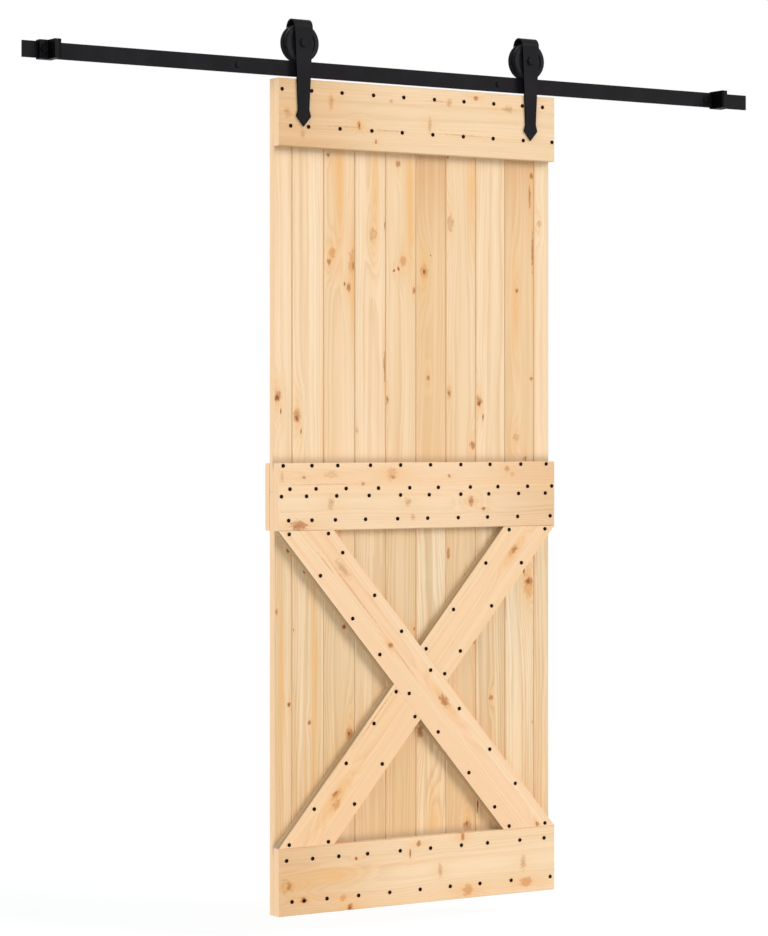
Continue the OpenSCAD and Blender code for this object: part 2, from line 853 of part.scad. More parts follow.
module wheel(x) {
    half_w = wheel_w / 2;
    web_a = half_w - web_dish;
    rim_in = rim_r - rim_w;
    face = [[hub_r, half_w], [hub_r, web_a], [rim_in, web_a], [rim_in, half_w]];
    side = concat(face, shoulder_arc, [[flange_r, groove_a + groove_flare], [tread_r, groove_a]]);
    other_side = [for (k = [len(side) - 1 : -1 : 0]) [side[k][0], -side[k][1]]];
    lip_r = bearing_od / 2 - bearing_lip;
    bore = [
        [bearing_seat_r, -half_w], [bearing_seat_r, bearing_w / 2], [lip_r, bearing_w / 2], [lip_r, half_w]
    ];
    color(black_steel)
        on_axle(x)
            rotate_extrude()
                polygon(concat(side, other_side, bore));
}

ball_pitch_r = (axle_d + bearing_od) / 4;

module race() {
    rotate_extrude()
        translate([ball_pitch_r, 0])
            circle(r = ball_d / 2 + ball_fit);
}

module ring(r_in, r_out) {
    difference() {
        translate([0, 0, -bearing_w / 2])
            washer(2 * r_out, r_in, bearing_w);
        race();
    }
}

module outer_ring(x) {
    color(bare_steel)
        on_axle(x)
            ring(bearing_od / 2 - ring_t, bearing_od / 2);
}

module inner_ring(x) {
    color(bare_steel)
        on_axle(x)
            ring(axle_d / 2 + bearing_fit, axle_d / 2 + ring_t);
}

module balls(x) {
    n = floor(2 * PI * ball_pitch_r / (ball_d * 1.35));
    color(bare_steel)
        on_axle(x)
            for (k = [0 : n - 1])
                rotate(360 * k / n)
                    translate([ball_pitch_r, 0, 0])
                        sphere(d = ball_d);
}

module bushes(x) {
    bush_l = fold_r_in - bearing_w / 2;
    color(bare_steel)
        on_axle(x)
            for (a = [-fold_r_in, bearing_w / 2])
                translate([0, 0, a])
                    washer(axle_d + 2 * (bearing_fit + bush_t), axle_d / 2 + bearing_fit, bush_l);
}

module axle_bolt(x) {
    shank_l = back_leg_back - strap_front + axle_nut_h + axle_spare;
    color(black_steel) {
        facing_room([x, axle_z], strap_front + shank_l)
            cylinder(d = axle_d, h = shank_l);
        facing_room([x, axle_z], strap_front)
            hex(axle_af, axle_head_h);
    }
}

module axle_nut(x) {
    color(black_steel)
        facing_room([x, axle_z], back_leg_back + axle_nut_h)
            difference() {
                hex(axle_af, axle_nut_h);
                translate([0, 0, -1])
                    cylinder(d = axle_d + 2 * bearing_fit, h = axle_nut_h + 2);
            }
}

for (i = [0 : board_n - 1]) {
    upper_board(i);
    lower_board(i);
}
top_rail();
middle_rail();
bottom_rail();
back_batten();
brace_long();
brace_upper();
brace_lower();
top_rail_nails();
middle_rail_nails();
bottom_rail_nails();
brace_nails();
batten_screws();
track_bar();
wall_bolts();
wall_washers();
wall_spacers();
at_stop(true) stop_clamp();  // left_stop_clamp
at_stop(false) stop_clamp();  // right_stop_clamp
at_stop(true) stop_pad();  // left_stop_pad
at_stop(false) stop_pad();  // right_stop_pad
stop_bolts();
strap(left_hanger_x);  // left_strap
strap(right_hanger_x);  // right_strap
strap_washers();
strap_nuts();
wheel(left_hanger_x);  // left_wheel
wheel(right_hanger_x);  // right_wheel
outer_ring(left_hanger_x);  // left_outer_ring
outer_ring(right_hanger_x);  // right_outer_ring
inner_ring(left_hanger_x);  // left_inner_ring
inner_ring(right_hanger_x);  // right_inner_ring
balls(left_hanger_x);  // left_balls
balls(right_hanger_x);  // right_balls
axle_bolt(left_hanger_x);  // left_axle_bolt
axle_bolt(right_hanger_x);  // right_axle_bolt
axle_nut(left_hanger_x);  // left_axle_nut
axle_nut(right_hanger_x);  // right_axle_nut
bushes(left_hanger_x);  // left_bushes
bushes(right_hanger_x);  // right_bushes
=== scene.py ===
"""Sliding barn door: the looks of the pine leaf, its black hardware, the light and the camera."""

import json
import math

import bpy
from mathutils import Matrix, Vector


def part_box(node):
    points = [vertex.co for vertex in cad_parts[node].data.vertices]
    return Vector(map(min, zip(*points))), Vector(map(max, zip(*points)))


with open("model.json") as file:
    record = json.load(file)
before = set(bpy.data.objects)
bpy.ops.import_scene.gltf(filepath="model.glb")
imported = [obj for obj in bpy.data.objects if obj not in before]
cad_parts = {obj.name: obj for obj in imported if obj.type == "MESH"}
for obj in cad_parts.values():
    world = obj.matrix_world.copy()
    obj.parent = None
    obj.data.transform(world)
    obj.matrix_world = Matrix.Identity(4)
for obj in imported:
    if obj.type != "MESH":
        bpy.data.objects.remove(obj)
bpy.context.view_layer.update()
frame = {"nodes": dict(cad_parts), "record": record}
nodes = frame["nodes"]

MM = 0.001
X, Y, Z = 0, 1, 2
LOW, HIGH = 0, 1

# The leaf's lower left front corner in the row frame, and its width, in metres
LEAF_X, LEAF_FRONT_Y, LEAF_Z = -0.382, -0.075, -2.1265
LEAF_W = 0.850
LEAF_MIDDLE_X = LEAF_X + LEAF_W / 2

# The boards' front, the height where the upper and lower boards meet, and their places across the leaf
BOARD_FRONT_Y = -0.051
BOARD_JOINT_Z = LEAF_Z + 1.062
BOARD_PITCH, FIRST_BOARD = 93.4 * MM, 53.5 * MM

# Rise and run of the braces, and the height where they cross
BRACE_RISE, BRACE_RUN = 795, 687
BRACE_CROSS_Z = LEAF_Z + 0.5675

# Turn of the grain about Y, from +X: boards run upwards, rails along X, braces along a diagonal
GRAIN_UP, GRAIN_ALONG = math.pi / 2, 0.0
GRAIN_RISING = math.atan2(BRACE_RISE, BRACE_RUN)
GRAIN_FALLING = -GRAIN_RISING


def srgb(r, g, b):
    """Linear colour with alpha, from 0 to 255 display values."""
    def linear(v):
        v /= 255
        return v / 12.92 if v <= 0.04045 else ((v + 0.055) / 1.055) ** 2.4
    return (linear(r), linear(g), linear(b), 1.0)


class Graph:
    """Short calls to add linked nodes to a node tree."""

    def __init__(self, tree):
        self.tree = tree
        self.nodes = tree.nodes

    def add(self, kind, **settings):
        node = self.nodes.new(kind)
        for key, value in settings.items():
            setattr(node, key, value)
        return node

    def put(self, socket, value):
        """Links value into a socket, or sets it where it is a plain number, vector or colour."""
        if isinstance(value, bpy.types.NodeSocket):
            self.tree.links.new(value, socket)
        else:
            socket.default_value = value

    def fill(self, node, values):
        """Puts values into a node's inputs, in order."""
        for socket, value in zip(node.inputs, values):
            self.put(socket, value)
        return node

    def math(self, operation, *values, clamp=False):
        node = self.add("ShaderNodeMath", operation=operation, use_clamp=clamp)
        return self.fill(node, values).outputs[0]

    def vector(self, operation, *values):
        node = self.add("ShaderNodeVectorMath", operation=operation)
        return self.fill(node, values).outputs["Value" if operation == "LENGTH" else "Vector"]

    def split(self, vector):
        """The x, y and z of a vector."""
        return self.fill(self.add("ShaderNodeSeparateXYZ"), [vector]).outputs

    def length(self, x, y):
        """Length of the flat vector (x, y)."""
        flat = self.fill(self.add("ShaderNodeCombineXYZ"), (x, y))
        return self.vector("LENGTH", flat.outputs[0])

    def position(self):
        """The place on the part, in the row frame."""
        return self.add("ShaderNodeTexCoord").outputs["Object"]

    def sideways(self):
        """How far the surface looks along X, from -1, to the left, to 1, to the right."""
        return self.split(self.add("ShaderNodeNewGeometry").outputs["True Normal"])[X]

    def place(self, vector, scale=(1, 1, 1), location=(0, 0, 0), rotation=(0, 0, 0)):
        node = self.add("ShaderNodeMapping", vector_type="POINT")
        self.put(node.inputs["Vector"], vector)
        node.inputs["Scale"].default_value = scale
        node.inputs["Location"].default_value = location
        node.inputs["Rotation"].default_value = rotation
        return node.outputs[0]

    def noise(self, vector, scale, shift=(0, 0, 0), detail=2, roughness=0.5):
        """Noise from 0 to 1, with scale waves per metre along each axis, moved by shift."""
        node = self.add("ShaderNodeTexNoise")
        self.put(node.inputs["Vector"], self.place(vector, scale, shift))
        node.inputs["Scale"].default_value = 1.0
        node.inputs["Detail"].default_value = detail
        node.inputs["Roughness"].default_value = roughness
        return node.outputs[0]

    def centred(self, noise):
        """Noise about 0 instead of about a half."""
        return self.math("SUBTRACT", noise, 0.5)

    def remap(self, value, low, high, to_low=0.0, to_high=1.0, smooth=True):
        kind = "SMOOTHSTEP" if smooth else "LINEAR"
        node = self.add("ShaderNodeMapRange", interpolation_type=kind)
        return self.fill(node, (value, low, high, to_low, to_high)).outputs[0]

    def mix(self, share, a, b):
        node = self.add("ShaderNodeMix", data_type="RGBA")
        self.put(node.inputs[0], share)
        self.put(node.inputs[6], a)
        self.put(node.inputs[7], b)
        return node.outputs[2]

    def bell(self, distance, width):
        """Falls from 1 at distance 0, smoothly, with that width."""
        share = self.math("DIVIDE", distance, width)
        square = self.math("MULTIPLY", share, share)
        return self.math("EXPONENT", self.math("MULTIPLY", square, -1.0))

    def bump(self, height, strength, distance):
        node = self.add("ShaderNodeBump")
        node.inputs["Strength"].default_value = strength
        node.inputs["Distance"].default_value = distance
        self.put(node.inputs["Height"], height)
        return node.outputs[0]


def new_material(name):
    """A material with its graph and its shader."""
    material = bpy.data.materials.new(name)
    material.use_nodes = True
    graph = Graph(material.node_tree)
    return material, graph, graph.nodes["Principled BSDF"]


def dress(name, material):
    """Gives a CAD node one material on all its faces."""
    mesh = nodes[name].data
    mesh.materials.clear()
    mesh.materials.append(material)


# Growth rings: their pitch, how far the pith wanders, how ragged they are, and where in a ring the
# latewood rises and falls
RING_PITCH = 3.4 * MM
PITH_SWAY = 60 * MM
RING_RAGGED = 0.7
LATE_RISE, LATE_FALL = (0.25, 0.86), (1.0, 0.9)

# Knots, in radii: how ragged they are, where the core starts and is full, the rim's place and width,
# and the widths of the tinted wood and of the bent grain, which reach further along the grain
KNOT_RAGGED = 2.4
CORE_EDGE = (1.55, 0.15)
RIM_AT, RIM_WIDTH = 0.8, 0.35
HALO_WIDTH, BEND_WIDTH, HALO_STRETCH = 1.5, 1.9, 3.2

# Waves per metre along, through and across the grain
WOBBLE_SCALE = (90, 190, 190)
WANDER_SCALE = (1.3, 5, 5)
RAGGED_SCALE = (9, 160, 160)
BAND_SCALE = (0.9, 20, 34)
ROSY_SCALE = (0.7, 12, 22)
STREAK_SCALE = (1.1, 40, 70)
FIBRE_SCALE = (16, 620, 620)

# How far one seed moves the noise, and the parts of a noise's range in which most of its values lie and
# in which rosy streaks, resin streaks and fibres show
SEED_SHIFT = (1.37, 0.71, 2.13)
MOST_NOISE = (0.3, 0.7)
ROSY_FULL = 0.75
RESIN_RISE, FIBRE_RISE = (0.56, 0.80), (0.42, 0.70)

# Strength of the broad bands, of resin streaks, of latewood in pale and deep bands, and of fibres
BAND_CONTRAST = 1.4
STREAK_SHARE = 0.4
LATE_SHARES = (0.12, 0.32)
FIBRE_SHARE = 0.12

PINE_SPECULAR = 0.3
PINE_ROUGHNESS = (0.42, 0.56)
PINE_BUMP, PINE_BUMP_DEPTH = 0.25, 0.4 * MM
LATE_DENT = -0.6

# Pale wood, deep wood and latewood: warm, the braces, greyer, the greyer boards' foot, deeper ends
WARM_PINE = (srgb(252, 226, 190), srgb(238, 200, 152), srgb(222, 176, 124))
BRACE_PINE = (srgb(255, 227, 191), srgb(248, 207, 160), srgb(230, 182, 132))
GREY_PINE = (srgb(250, 228, 193), srgb(233, 202, 159), srgb(208, 174, 132))
FOOT_PINE = (srgb(252, 222, 183), srgb(234, 195, 146), srgb(212, 170, 118))
AMBER_PINE = (srgb(234, 198, 154), srgb(220, 171, 117), srgb(202, 146, 92))
ROSY = srgb(252, 210, 170)
RESIN = srgb(240, 188, 124)
HALO = srgb(240, 184, 116)

# Colours painted on places of the timber: painted shade in the seams and on the braces' left sides,
# painted light on left ends and faces that look left, warmer wood in the middle rail's upper half, and
# painted contact shade on the boards next to a rail
SEAM_PAINTED_SHADE = srgb(232, 202, 162)
SIDE_SHADE = srgb(166, 146, 116)
LEFT_FACE_PAINTED_LIGHT = srgb(250, 211, 168)
UPPER_WARM = srgb(252, 202, 156)
CONTACT_SHADE = srgb(166, 148, 124)

# Kinds of knot: core and rim colours, how strong core and rim are, and how strongly the wood round
# them is tinted
KNOT_KINDS = {
    "dark": (srgb(146, 70, 20), srgb(158, 84, 32), 0.95, 0.30, 0.40),
    "red": (srgb(188, 112, 56), srgb(148, 84, 40), 0.85, 0.30, 0.45),
    "orange": (srgb(222, 150, 86), srgb(196, 124, 66), 0.75, 0.30, 0.50),
    "pale": (srgb(222, 170, 114), srgb(196, 144, 92), 0.55, 0.45, 0.30),
    "smear": (srgb(200, 148, 98), srgb(200, 148, 98), 0.65, 0.0, 0.20),
    "tail": (srgb(242, 190, 124), srgb(242, 190, 124), 0.40, 0.0, 0.60),
    "line": (srgb(206, 142, 92), srgb(206, 142, 92), 0.50, 0.0, 0.0),
}
STRAIGHT_KINDS = ("smear", "line")

# Knots of each board, rail and brace: mm from the leaf's left edge, mm from its foot, radius in mm,
# kind, and stretch along the grain
KNOTS = {
    "upper_board_1": [(10, 1305, 9, "red", 1.4), (10, 1299, 5, "dark", 1.2), (21, 1266, 2, "dark", 3)],
    "upper_board_2": [(68, 1255, 9, "red", 1.5), (68, 1248, 5, "dark", 1.2), (80, 1216, 2, "dark", 3.5)],
    "upper_board_3": [(191, 1880, 11, "tail", 2), (196, 1790, 8, "tail", 4), (236, 1560, 7, "tail", 5),
                      (160, 1916, 4, "dark", 1.2), (172, 1668, 8, "orange", 1.4),
                      (163, 1645, 5, "red", 1.3), (235, 1645, 12, "orange", 2.2),
                      (238, 1636, 6, "red", 1.6), (209, 1590, 3, "dark", 1.4),
                      (222, 1583, 6, "red", 1.5)],
    "upper_board_4": [(303, 1830, 9, "tail", 4), (295, 1718, 10, "pale", 1.3), (332, 1745, 2, "dark", 8),
                      (332, 1380, 4, "red", 8), (241, 1219, 6, "pale", 1.4)],
    "upper_board_5": [(408, 1850, 11, "tail", 3), (410, 1740, 8, "tail", 4), (372, 1903, 6, "red", 1.2),
                      (387, 1654, 8, "orange", 1.4), (373, 1633, 4, "dark", 1.2),
                      (359, 1628, 3, "dark", 1), (421, 1578, 4, "red", 1.6), (337, 1296, 5, "dark", 2)],
    "upper_board_6": [(452, 1628, 10, "orange", 1.6), (452, 1628, 4, "dark", 1.4),
                      (472, 1670, 2, "dark", 1.2), (464, 1353, 5, "red", 1.2)],
    "upper_board_7": [(603, 1850, 11, "tail", 3), (523, 1929, 4, "dark", 1.2),
                      (533, 1757, 9, "pale", 1.8), (530, 1317, 7, "smear", 2),
                      (529, 1313, 4, "red", 1.4), (605, 1180, 7, "red", 1.3)],
    "upper_board_8": [(624, 1294, 8, "red", 1.5), (624, 1286, 5, "dark", 1.2), (637, 1253, 2, "dark", 4)],
    "upper_board_9": [(740, 1540, 8, "tail", 4), (792, 1892, 5, "dark", 1.5), (787, 1835, 3, "red", 8),
                      (796, 1690, 3, "red", 14), (746, 1586, 4, "dark", 1.2), (792, 1354, 4, "red", 1),
                      (743, 1200, 8, "pale", 1), (772, 1142, 5, "dark", 1.2)],
    "upper_board_10": [(818, 1765, 6, "pale", 1.3)],
    "lower_board_1": [(42, 915, 5, "dark", 1.5), (8, 763, 3, "red", 2), (45, 527, 4, "dark", 1.2),
                      (22, 600, 6, "tail", 9)],
    "lower_board_2": [(120, 640, 7, "tail", 8), (89, 861, 4, "dark", 1.3), (57, 715, 3, "red", 1.2),
                      (104, 479, 4, "dark", 1.3)],
    "lower_board_3": [(208, 718, 5, "dark", 1.2), (223, 445, 9, "red", 1.4), (223, 445, 4, "dark", 1.1)],
    "lower_board_5": [(421, 705, 4, "red", 1.2)],
    "lower_board_6": [(439, 438, 8, "red", 1.7), (483, 205, 12, "tail", 1.6)],
    "lower_board_7": [(527, 896, 5, "red", 2.5), (583, 840, 4, "dark", 1.2), (609, 667, 6, "dark", 1.6),
                      (586, 184, 10, "red", 1.4), (584, 190, 4, "dark", 1.5)],
    "lower_board_8": [(663, 515, 5, "red", 1.2), (619, 240, 3, "dark", 8)],
    "lower_board_9": [(783, 806, 13, "orange", 1.8), (783, 818, 9, "red", 1.2),
                      (783, 819, 5, "dark", 1.3), (769, 851, 3, "dark", 4), (798, 445, 5, "smear", 1.2)],
    "top_rail": [(27, 2013, 12, "smear", 0.8), (25, 2018, 5, "smear", 1.6), (71, 1963, 9, "smear", 0.8),
                 (154, 2048, 18, "smear", 0.4), (155, 2050, 9, "smear", 0.5), (335, 2060, 5, "smear", 1),
                 (238, 1994, 11, "red", 0.4), (239, 1992, 6, "dark", 0.4), (190, 1987, 2, "line", 24),
                 (289, 1954, 5, "dark", 0.5), (598, 2084, 5, "red", 1.2), (514, 2066, 10, "smear", 0.7),
                 (480, 2068, 2, "line", 16), (454, 2004, 18, "smear", 0.3), (560, 1984, 2, "line", 40),
                 (330, 1984, 2, "line", 20), (700, 2060, 8, "smear", 2)],
    "middle_rail": [(10, 1100, 14, "smear", 0.3), (74, 1098, 4, "dark", 1.2),
                    (154, 1105, 7, "pale", 2.2), (338, 1107, 14, "orange", 0.9),
                    (340, 1098, 4, "dark", 1.4), (150, 1081, 2, "line", 50), (250, 1081, 4, "dark", 1.2),
                    (153, 1034, 17, "smear", 0.5), (387, 1034, 13, "smear", 0.6),
                    (402, 995, 7, "smear", 1), (60, 978, 10, "red", 2), (697, 1117, 8, "red", 0.7),
                    (714, 1102, 6, "smear", 1.4), (514, 1100, 4, "dark", 1), (583, 1034, 11, "red", 0.6),
                    (621, 1013, 4, "dark", 1.4)],
    "bottom_rail": [(24, 74, 15, "pale", 1.1), (30, 74, 8, "red", 0.7), (74, 37, 7, "red", 1.2),
                    (190, 33, 7, "orange", 1.1), (211, 8, 8, "red", 1), (211, 6, 4, "dark", 1.2),
                    (229, 129, 4, "dark", 0.8), (166, 90, 12, "tail", 1.4), (393, 129, 10, "dark", 0.2),
                    (420, 153, 6, "red", 1), (557, 161, 10, "red", 0.5), (573, 21, 13, "orange", 1),
                    (758, 27, 11, "orange", 1.4), (486, 78, 16, "smear", 0.4),
                    (749, 78, 17, "smear", 0.5)],
    "brace_long": [(225, 800, 2, "line", 60), (372, 626, 2, "line", 25), (140, 880, 2, "line", 14),
                   (332, 668, 6, "red", 1.2), (332, 668, 3, "dark", 1), (190, 865, 9, "smear", 3),
                   (498, 517, 9, "red", 2), (794, 178, 5, "red", 1.2)],
    "brace_upper": [(716, 901, 9, "orange", 1.7), (720, 904, 5, "red", 1.6)],
    "brace_lower": [(290, 490, 2, "line", 50), (200, 400, 2, "line", 40), (169, 295, 8, "orange", 1.8),
                    (166, 298, 4, "red", 2), (171, 270, 8, "orange", 1.6)],
}


def knot_group():
    """Masks round one knot: its core, its rim, the tinted wood round it and how far the grain bends."""
    tree = bpy.data.node_groups.new("Knot", "ShaderNodeTree")
    for name, kind in (("Grain", "Vector"), ("Wobble", "Float"), ("Centre", "Vector"),
                       ("Radius", "Float"), ("Stretch", "Float")):
        tree.interface.new_socket(name, in_out="INPUT", socket_type="NodeSocket" + kind)
    for name in ("Core", "Rim", "Halo", "Bend"):
        tree.interface.new_socket(name, in_out="OUTPUT", socket_type="NodeSocketFloat")
    g = Graph(tree)
    inside, outside = g.add("NodeGroupInput").outputs, g.add("NodeGroupOutput").inputs
    radius, stretch = inside["Radius"], inside["Stretch"]
    along, _, across = g.split(g.vector("SUBTRACT", inside["Grain"], inside["Centre"]))

    def distance(length_share):
        return g.math("DIVIDE", g.length(g.math("DIVIDE", along, length_share), across), radius)

    ragged = g.math("MULTIPLY", g.centred(inside["Wobble"]), KNOT_RAGGED)
    near = g.math("ADD", distance(stretch), ragged)
    far = distance(g.math("MULTIPLY", stretch, HALO_STRETCH))
    rings = g.math("DIVIDE", radius, RING_PITCH)
    g.put(outside["Core"], g.remap(near, *CORE_EDGE))
    g.put(outside["Rim"], g.bell(g.math("SUBTRACT", near, RIM_AT), RIM_WIDTH))
    g.put(outside["Halo"], g.bell(far, HALO_WIDTH))
    g.put(outside["Bend"], g.math("MULTIPLY", g.bell(far, BEND_WIDTH), rings))
    return tree


KNOT = knot_group()

# Painted shade in the seams: how deep behind the boards' front a bevel starts and ends, how far it
# keeps from the leaf's sides, how far the board joint's painted shade reaches, and how far sideways
# their faces look
BEVEL_START, BEVEL_END = (0.8 * MM, 2.2 * MM), (6 * MM, 4 * MM)
BEVEL_OUTER, BEVEL_INNER = LEAF_W / 2 - 8 * MM, LEAF_W / 2 - 12 * MM
JOINT_REACH = (2.2 * MM, 0.8 * MM)
BEVEL_FACING, JOINT_FACING = (0.95, 0.85), (0.9, 0.97)

# How far sideways faces look that count as left, shares of a brace's shade at its front and at the
# boards, how deep contact shade reaches, and the middle rail's warmer half
LEFT_FACING = (-0.55, -0.7)
BRACE_SHADE_SHARES = (1.0, 0.6)
CONTACT_DEPTH = (8 * MM, 4 * MM)
WARM_HALF_Z, WARM_HALF_SHARE = (LEAF_Z + 1.03, LEAF_Z + 1.07), 0.34


def seam_shade_mask(g):
    """Where shade is painted: 1 in the bevels between the boards and at the board joint on the leaf's
    sides, and 0 elsewhere.
    """
    sideways = g.math("ABSOLUTE", g.sideways())
    x, y, z = g.split(g.position())
    deep = g.math("SUBTRACT", y, BOARD_FRONT_Y)
    off_middle = g.math("ABSOLUTE", g.math("SUBTRACT", x, LEAF_MIDDLE_X))
    off_joint = g.math("ABSOLUTE", g.math("SUBTRACT", z, BOARD_JOINT_Z))
    bevel = g.math("MULTIPLY", g.remap(deep, *BEVEL_START), g.remap(deep, *BEVEL_END))
    bevel = g.math("MULTIPLY", bevel, g.remap(sideways, *BEVEL_FACING))
    bevel = g.math("MULTIPLY", bevel, g.remap(off_middle, BEVEL_OUTER, BEVEL_INNER))
    joint = g.math("MULTIPLY", g.remap(off_joint, *JOINT_REACH), g.remap(sideways, *JOINT_FACING))
    return g.math("MAXIMUM", bevel, joint)


def left_mask(g):
    """1 on faces that look to the left, and 0 on the others."""
    return g.remap(g.sideways(), *LEFT_FACING)


def brace_side_mask(g):
    """Share of painted shade on a brace's left sides: 1 at the front edge and less towards the boards."""
    y = g.split(g.position())[Y]
    share = g.remap(y, LEAF_FRONT_Y, BOARD_FRONT_Y, *BRACE_SHADE_SHARES)
    return g.math("MULTIPLY", left_mask(g), share)


def contact_mask(height, width, share):
    """A mask of the soft shade on the boards' front, next to a rail's edge at that height."""
    def mask(g):
        _, y, z = g.split(g.position())
        near = g.bell(g.math("SUBTRACT", z, height), width)
        front = g.remap(g.math("SUBTRACT", y, BOARD_FRONT_Y), *CONTACT_DEPTH, 0.0, share)
        return g.math("MULTIPLY", near, front)
    return mask


def middle_upper_mask(g):
    """A share of warmer wood in the upper half of the middle rail, and 0 in its lower half."""
    return g.remap(g.split(g.position())[Z], *WARM_HALF_Z, 0.0, WARM_HALF_SHARE)


def turned(x, z, turn):
    """A place's distance along and across the grain."""
    return (x * math.cos(turn) + z * math.sin(turn), z * math.cos(turn) - x * math.sin(turn))


def knot_marks(g, name, turn, local, shift):
    """The masks and kind of each knot of a piece, and how far they bend its grain."""
    wobble = g.noise(local, WOBBLE_SCALE, shift, detail=3)
    flat = g.vector("MULTIPLY", local, (1, 0, 1))
    marks, bend = [], 0.0
    for x, z, radius, kind, stretch in KNOTS.get(name, ()):
        along, across = turned(LEAF_X + x * MM, LEAF_Z + z * MM, turn)
        knot = g.add("ShaderNodeGroup", node_tree=KNOT)
        g.fill(knot, (flat, wobble, (along, 0, across), radius * MM, stretch))
        marks.append((knot.outputs, kind))
        if kind not in STRAIGHT_KINDS:
            bend = g.math("ADD", bend, knot.outputs["Bend"])
    return marks, bend


def latewood_mask(g, local, shift, pith, bend):
    """The dark part of growth rings about a pith behind the face, which wanders along the grain."""
    _, through, across = g.split(local)
    sway = g.math("MULTIPLY", g.centred(g.noise(local, WANDER_SCALE, shift)), PITH_SWAY)
    off_across = g.math("ADD", g.math("SUBTRACT", across, pith[0]), sway)
    off_through = g.math("SUBTRACT", through, pith[1])
    ring = g.math("ADD", g.math("DIVIDE", g.length(off_across, off_through), RING_PITCH), bend)
    ragged = g.math("MULTIPLY", g.noise(local, RAGGED_SCALE, shift, detail=3), RING_RAGGED)
    ring = g.math("FRACT", g.math("ADD", ring, ragged))
    return g.math("MULTIPLY", g.remap(ring, *LATE_RISE), g.remap(ring, *LATE_FALL))


def pine(name, turn, seed, pith, tone, figure, shades, blush=0.4, colours=WARM_PINE, fade=None):
    """Varnished pine. turn is the grain's direction, pith is its place across and through the grain,
    and tone goes from 0, pale, to 1, deep. figure sets the contrast of the bands, shades are pairs of a
    mask and a colour painted on its places, which carry the painted shade, the painted light and the
    warmer wood, blush is the share of rosy streaks, and colours are pale wood, deep wood and latewood.
    fade is an axis, the place where other colours hold, the place where they have faded away, and those
    colours."""
    material, g, shader = new_material(name)
    position = g.position()
    local = g.place(position, rotation=(0, turn, 0))
    if fade:
        axis, other_at, faded_at, other_colours = fade
        faded = g.remap(g.split(position)[axis], other_at, faded_at)
        colours = [g.mix(faded, other, own) for other, own in zip(other_colours, colours)]
    pale, deep, latewood = colours
    shift = tuple(seed * step for step in SEED_SHIFT)
    marks, bend = knot_marks(g, name, turn, local, shift)
    late = latewood_mask(g, local, shift, pith, bend)

    # Broad bands, rosy and resin streaks and fine fibres along the grain
    bands = g.noise(local, BAND_SCALE, shift, detail=3, roughness=0.6)
    rosy = g.noise(local, ROSY_SCALE, (seed * 3.1, 2, seed))
    streak = g.noise(local, STREAK_SCALE, (seed, seed * 0.3, 5))
    fibre = g.noise(local, FIBRE_SCALE, shift, detail=3, roughness=0.65)

    contrast = g.math("MULTIPLY", g.centred(bands), BAND_CONTRAST * figure)
    base = g.mix(g.math("ADD", contrast, tone, clamp=True), pale, deep)
    rosy_share = g.math("MULTIPLY", g.remap(rosy, 0.5 - blush / 4, ROSY_FULL), blush)
    base = g.mix(rosy_share, base, ROSY)
    resin_share = g.math("MULTIPLY", g.remap(streak, *RESIN_RISE), STREAK_SHARE * figure)
    base = g.mix(resin_share, base, RESIN)
    late_shares = [share * figure for share in LATE_SHARES]
    late_share = g.math("MULTIPLY", late, g.remap(bands, *MOST_NOISE, *late_shares))
    base = g.mix(late_share, base, latewood)
    base = g.mix(g.remap(fibre, *FIBRE_RISE, 0.0, FIBRE_SHARE), base, latewood)
    for masks, kind in marks:
        core_colour, rim_colour, core_share, rim_share, tint = KNOT_KINDS[kind]
        base = g.mix(g.math("MULTIPLY", masks["Halo"], tint), base, HALO)
        base = g.mix(g.math("MULTIPLY", masks["Core"], core_share), base, core_colour)
        base = g.mix(g.math("MULTIPLY", masks["Rim"], rim_share), base, rim_colour)
    # Painted shade, painted light and warmer wood, each on its mask
    for mask, shade_colour in shades:
        base = g.mix(mask(g), base, shade_colour)
    g.put(shader.inputs["Base Color"], base)

    g.put(shader.inputs["Roughness"], g.remap(fibre, *MOST_NOISE, *PINE_ROUGHNESS))
    shader.inputs["Specular IOR Level"].default_value = PINE_SPECULAR
    relief = g.math("ADD", g.math("MULTIPLY", late, LATE_DENT), fibre)
    g.put(shader.inputs["Normal"], g.bump(relief, PINE_BUMP, PINE_BUMP_DEPTH))
    return material


def board_centre(i):
    """Middle of board i across the leaf, counted from 0."""
    return LEAF_X + FIRST_BOARD + (i - 0.5) * BOARD_PITCH


def board_pith(i, seed):
    """Pith of board i, spread by its seed: up to 25 mm off its middle, and 20 to 65 mm along Y."""
    offset = (seed * 37 % 50 - 25) * MM
    return (-board_centre(i) + offset, 20 * MM + seed % 4 * 15 * MM)


# Boards: tones from left to right, deeper heads and feet, and the width and share of the shade above
# and below a rail
UPPER_TONES = (0.4, 0.2, 0.5, 0.15, 0.5, 1.0, 0.4, 0.2, 0.8, 0.2)
LOWER_TONES = (0.85, 0.7, 1.0, 0.9, 1.2, 0.3, 1.25, 0.5, 0.2, 0.55)
UPPER_FIGURE, LOWER_FIGURE = 1.2, 1.9
UPPER_SEED, LOWER_SEED = 0, 20
FOOT_FADE = (Z, LEAF_Z + 0.25, LEAF_Z + 0.80, FOOT_PINE)
HEAD_FADE = (Z, LEAF_Z + 2.05, LEAF_Z + 1.65, AMBER_PINE)
DEEPER_HEADS = ("upper_board_6", "upper_board_9")
ABOVE_RAIL = (15 * MM, 0.65)
BELOW_RAIL = (25 * MM, 0.2)
ABOVE_MIDDLE = (contact_mask(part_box("middle_rail")[HIGH][Z], *ABOVE_RAIL), CONTACT_SHADE)
BELOW_TOP = (contact_mask(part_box("top_rail")[LOW][Z], *BELOW_RAIL), CONTACT_SHADE)
ABOVE_BOTTOM = (contact_mask(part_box("bottom_rail")[HIGH][Z], *ABOVE_RAIL), CONTACT_SHADE)
